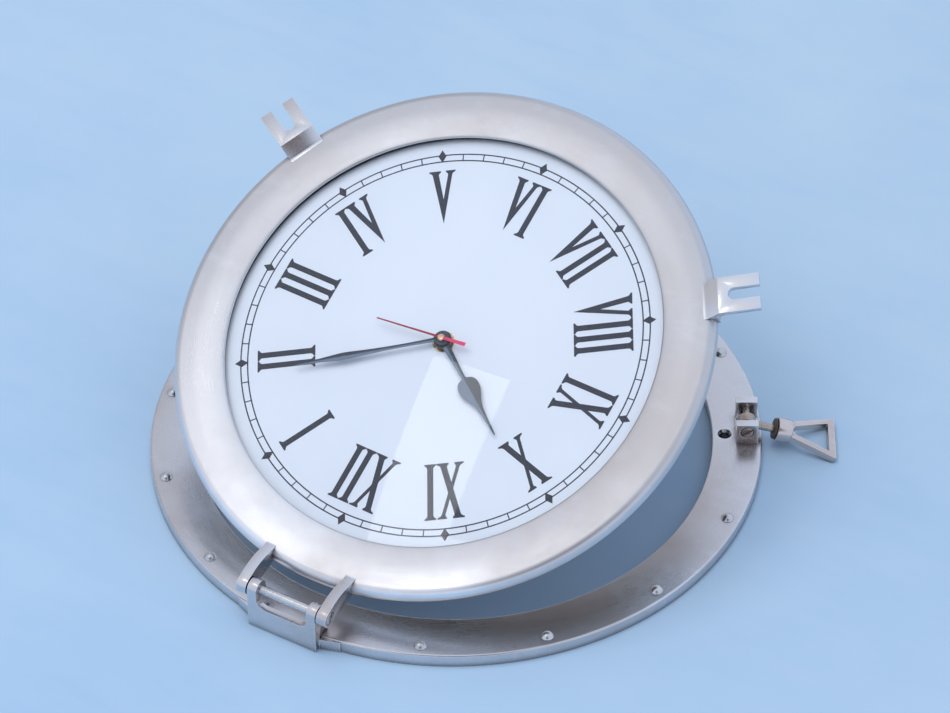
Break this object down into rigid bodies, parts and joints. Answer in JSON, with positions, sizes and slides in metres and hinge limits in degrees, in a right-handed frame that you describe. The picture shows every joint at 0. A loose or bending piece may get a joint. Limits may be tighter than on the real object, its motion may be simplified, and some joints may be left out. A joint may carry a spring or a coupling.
{
  "type": "ships deck clock",
  "caption": "Round wall clock with a hinged glazed door ring on a riveted base ring, clamped shut by two swinging eye bolts with loop nuts; white Roman dial.",
  "frame": {"origin": "centre of the base ring's back face", "axes": "+Z out of the wall; the hinge and twelve o'clock towards -Y; +X along the hinge pin, so three o'clock lies towards -X"},
  "size_m": [0.4832, 0.4383, 0.1966],
  "materials": {
    "nickel": "satin nickel plate over cast brass, brushed and lightly worn",
    "steel": "bright turned steel",
    "washer_bronze": "dark patinated bronze",
    "plated_steel": "zinc-plated sheet and steel",
    "glass": "clear domed glass",
    "rubber": "black rubber strip",
    "dial": "pale blue-white matt lacquer, black print",
    "black_plastic": "black moulded plastic",
    "brass": "turned brass",
    "coil_wire": "enamelled copper wire",
    "board": "green circuit board",
    "cell": "printed metal sleeve",
    "gear_plastic": "natural white acetal",
    "hand_slate": "blued steel, satin",
    "hand_red": "dark red enamel"
  },
  "bodies": {
    "base": {"base_ring": "nickel", "rivet_01": "nickel", "rivet_02": "nickel", "rivet_03": "nickel", "rivet_04": "nickel", "rivet_05": "nickel", "rivet_06": "nickel", "rivet_07": "nickel", "rivet_08": "nickel", "rivet_09": "nickel", "rivet_10": "nickel", "rivet_11": "nickel", "rivet_12": "nickel", "hinge_bracket": "nickel", "hinge_pin": "steel", "dog_clevis_right": "nickel", "dog_clevis_left": "nickel", "dog_pivot_screw_right": "steel", "dog_pivot_screw_left": "steel"},
    "door": {"door_ring": "nickel", "fork_lug_right": "nickel", "fork_lug_left": "nickel", "hinge_arm_right": "nickel", "hinge_arm_left": "nickel", "glass": "glass", "glass_gasket": "rubber", "spacer_ring": "black_plastic", "dial_plate": "dial", "retaining_ring": "plated_steel", "retaining_screw_1": "steel", "retaining_screw_2": "steel", "retaining_screw_3": "steel", "movement_front_case": "black_plastic", "movement_rear_case": "black_plastic", "mounting_bushing": "brass", "bushing_washer": "brass", "bushing_nut": "brass", "centre_plate": "gear_plastic", "stator": "plated_steel", "coil": "coil_wire", "circuit_board": "board", "battery": "cell", "battery_contact_positive": "plated_steel", "battery_contact_negative": "plated_steel"},
    "bolt_right": {"dog_eyebolt_right": "steel"},
    "washer_right": {"dog_washer_right": "washer_bronze"},
    "nut_right": {"dog_nut_right": "nickel"},
    "bolt_left": {"dog_eyebolt_left": "steel"},
    "washer_left": {"dog_washer_left": "washer_bronze"},
    "nut_left": {"dog_nut_left": "nickel"},
    "rotor": {"rotor": "gear_plastic"},
    "step": {"step_wheel": "gear_plastic"},
    "seconds": {"seconds_wheel": "gear_plastic", "second_hand": "hand_red"},
    "third": {"third_wheel": "gear_plastic"},
    "minutes": {"centre_wheel": "gear_plastic", "minute_hand": "hand_slate"},
    "motion_work": {"minute_wheel": "gear_plastic"},
    "hours": {"hour_wheel": "gear_plastic", "hour_hand": "hand_slate"}
  },
  "joints": [
    {"name": "door_hinge", "type": "hinge", "parent": "base", "child": "door", "pos_m": [-0.0055, -0.2155, 0.0315], "axis": [1, 0, 0], "range_deg": [-25, 155]},
    {"name": "dog_swing_right", "type": "hinge", "parent": "base", "child": "bolt_right", "pos_m": [0.17753, 0.1025, 0.021], "axis": [0.5, -0.866, 0], "range_deg": [0, 165]},
    {"name": "dog_travel_right", "type": "slide", "parent": "bolt_right", "child": "washer_right", "axis": [0.831, 0.4798, -0.2815], "range_m": [-0.00771, 0.01001]},
    {"name": "dog_screw_right", "type": "hinge", "parent": "washer_right", "child": "nut_right", "pos_m": [0.17753, 0.1025, 0.021], "axis": [0.831, 0.4798, -0.2815], "range_deg": [-2772, 3600]},
    {"name": "dog_swing_left", "type": "hinge", "parent": "base", "child": "bolt_left", "pos_m": [-0.17753, 0.1025, 0.021], "axis": [0.5, 0.866, 0], "range_deg": [0, 165]},
    {"name": "dog_travel_left", "type": "slide", "parent": "bolt_left", "child": "washer_left", "axis": [-0.831, 0.4798, -0.2815], "range_m": [-0.00771, 0.01001]},
    {"name": "dog_screw_left", "type": "hinge", "parent": "washer_left", "child": "nut_left", "pos_m": [-0.17753, 0.1025, 0.021], "axis": [-0.831, 0.4798, -0.2815], "range_deg": [-2772, 3600]},
    {"name": "seconds_turn", "type": "hinge", "parent": "door", "child": "seconds", "pos_m": [0, -0.01377, 0.1088], "axis": [0, 0.4226, -0.9063], "continuous": true},
    {"name": "third_turn", "type": "hinge", "parent": "door", "child": "third", "pos_m": [-0.0108, -0.01377, 0.1088], "axis": [0, 0.4226, -0.9063], "continuous": true},
    {"name": "step_turn", "type": "hinge", "parent": "door", "child": "step", "pos_m": [-0.00156, -0.00574, 0.11254], "axis": [0, 0.4226, -0.9063], "continuous": true},
    {"name": "rotor_turn", "type": "hinge", "parent": "door", "child": "rotor", "pos_m": [0.00446, -0.00191, 0.11433], "axis": [0, 0.4226, -0.9063], "continuous": true},
    {"name": "motion_work_turn", "type": "hinge", "parent": "door", "child": "motion_work", "pos_m": [0.011, -0.01377, 0.1088], "axis": [0, 0.4226, -0.9063], "continuous": true},
    {"name": "minutes_turn", "type": "hinge", "parent": "door", "child": "minutes", "pos_m": [0, -0.01377, 0.1088], "axis": [0, 0.4226, -0.9063], "continuous": true},
    {"name": "hours_turn", "type": "hinge", "parent": "door", "child": "hours", "pos_m": [0, -0.01377, 0.1088], "axis": [0, 0.4226, -0.9063], "continuous": true}
  ],
  "couplings": [
    {"joint": "dog_travel_right", "follows": "dog_screw_right", "m_per_rad": 0.00015915},
    {"joint": "dog_travel_left", "follows": "dog_screw_left", "m_per_rad": 0.00015915},
    {"joint": "third_turn", "follows": "seconds_turn", "ratio": -0.13333},
    {"joint": "step_turn", "follows": "seconds_turn", "ratio": -5},
    {"joint": "rotor_turn", "follows": "seconds_turn", "ratio": 30},
    {"joint": "motion_work_turn", "follows": "seconds_turn", "ratio": -0.0055556},
    {"joint": "minutes_turn", "follows": "seconds_turn", "ratio": 0.016667},
    {"joint": "hours_turn", "follows": "seconds_turn", "ratio": 0.0013889}
  ]
}
